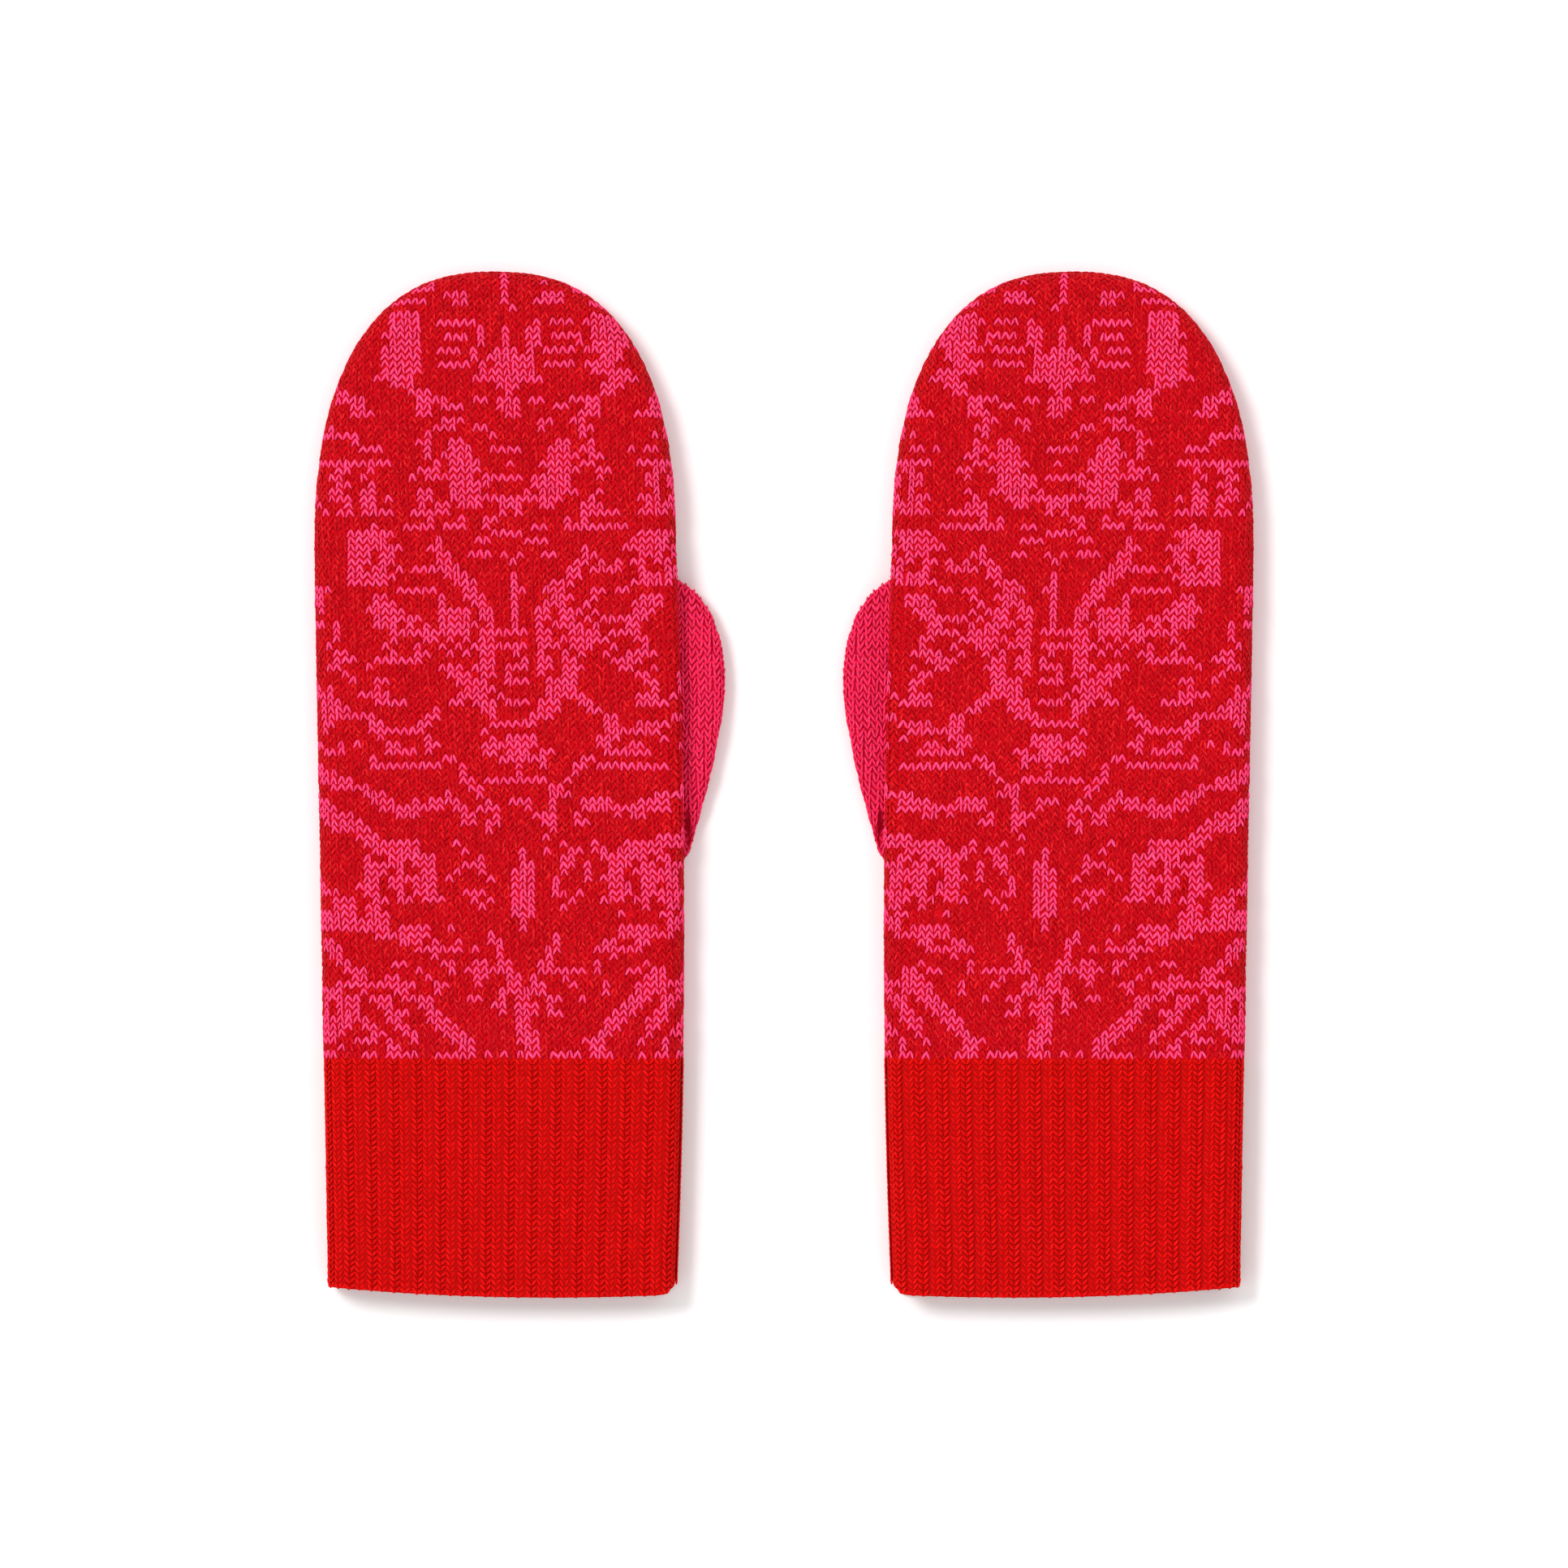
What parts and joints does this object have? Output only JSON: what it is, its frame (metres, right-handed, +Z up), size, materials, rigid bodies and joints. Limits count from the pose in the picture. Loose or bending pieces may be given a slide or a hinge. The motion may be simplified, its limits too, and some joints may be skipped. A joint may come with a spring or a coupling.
{
  "type": "mittens",
  "caption": "Pair of long knitted mittens with patterned backs, plain thumbs and ribbed wrist cuffs, lying flat with palms down.",
  "frame": {"origin": "on the surface that the pair lies on, below the middle of the pair", "axes": "+Y towards the fingertips, +X from the left mitten to the right one, +Z up out of the backs of the hands"},
  "size_m": [0.2566, 0.28, 0.015],
  "materials": {
    "red_yarn": "matt wool yarn, two-colour knit",
    "pink_yarn": "matt wool yarn, stockinette knit",
    "cuff_yarn": "plied wool yarn, rib knit",
    "label_tape": "woven satin tape"
  },
  "bodies": {
    "left_hand": {"left_hand_back": "red_yarn", "left_hand_palm": "pink_yarn", "left_side_seam": "red_yarn", "left_thumb_hole_seam": "pink_yarn", "left_cuff_join_seam": "cuff_yarn"},
    "left_thumb": {"left_thumb_back": "pink_yarn", "left_thumb_front": "pink_yarn", "left_thumb_seam": "pink_yarn"},
    "left_cuff": {"left_cuff_back": "cuff_yarn", "left_cuff_palm": "cuff_yarn", "left_cuff_seam": "cuff_yarn", "left_care_label": "label_tape"},
    "right_hand": {"right_hand_back": "red_yarn", "right_hand_palm": "pink_yarn", "right_side_seam": "red_yarn", "right_thumb_hole_seam": "pink_yarn", "right_cuff_join_seam": "cuff_yarn"},
    "right_thumb": {"right_thumb_back": "pink_yarn", "right_thumb_front": "pink_yarn", "right_thumb_seam": "pink_yarn"},
    "right_cuff": {"right_cuff_back": "cuff_yarn", "right_cuff_palm": "cuff_yarn", "right_cuff_seam": "cuff_yarn"}
  },
  "joints": [
    {"name": "left_thumb_swing", "type": "hinge", "parent": "left_hand", "child": "left_thumb", "pos_m": [-0.044, -0.011, 0.0045], "axis": [0, 0, -1], "range_deg": [0, 30]},
    {"name": "left_cuff_fold", "type": "hinge", "parent": "left_hand", "child": "left_cuff", "pos_m": [-0.0767, -0.0754, 0.015], "axis": [-1, 0, 0], "range_deg": [0, 120]},
    {"name": "right_thumb_swing", "type": "hinge", "parent": "right_hand", "child": "right_thumb", "pos_m": [0.044, -0.011, 0.0045], "axis": [0, 0, 1], "range_deg": [0, 30]},
    {"name": "right_cuff_fold", "type": "hinge", "parent": "right_hand", "child": "right_cuff", "pos_m": [0.0767, -0.0754, 0.015], "axis": [-1, 0, 0], "range_deg": [0, 120]},
    {"name": "right_mitten_away", "type": "slide", "parent": "left_hand", "child": "right_hand", "axis": [1, 0, 0], "range_m": [0, 0.15]}
  ]
}
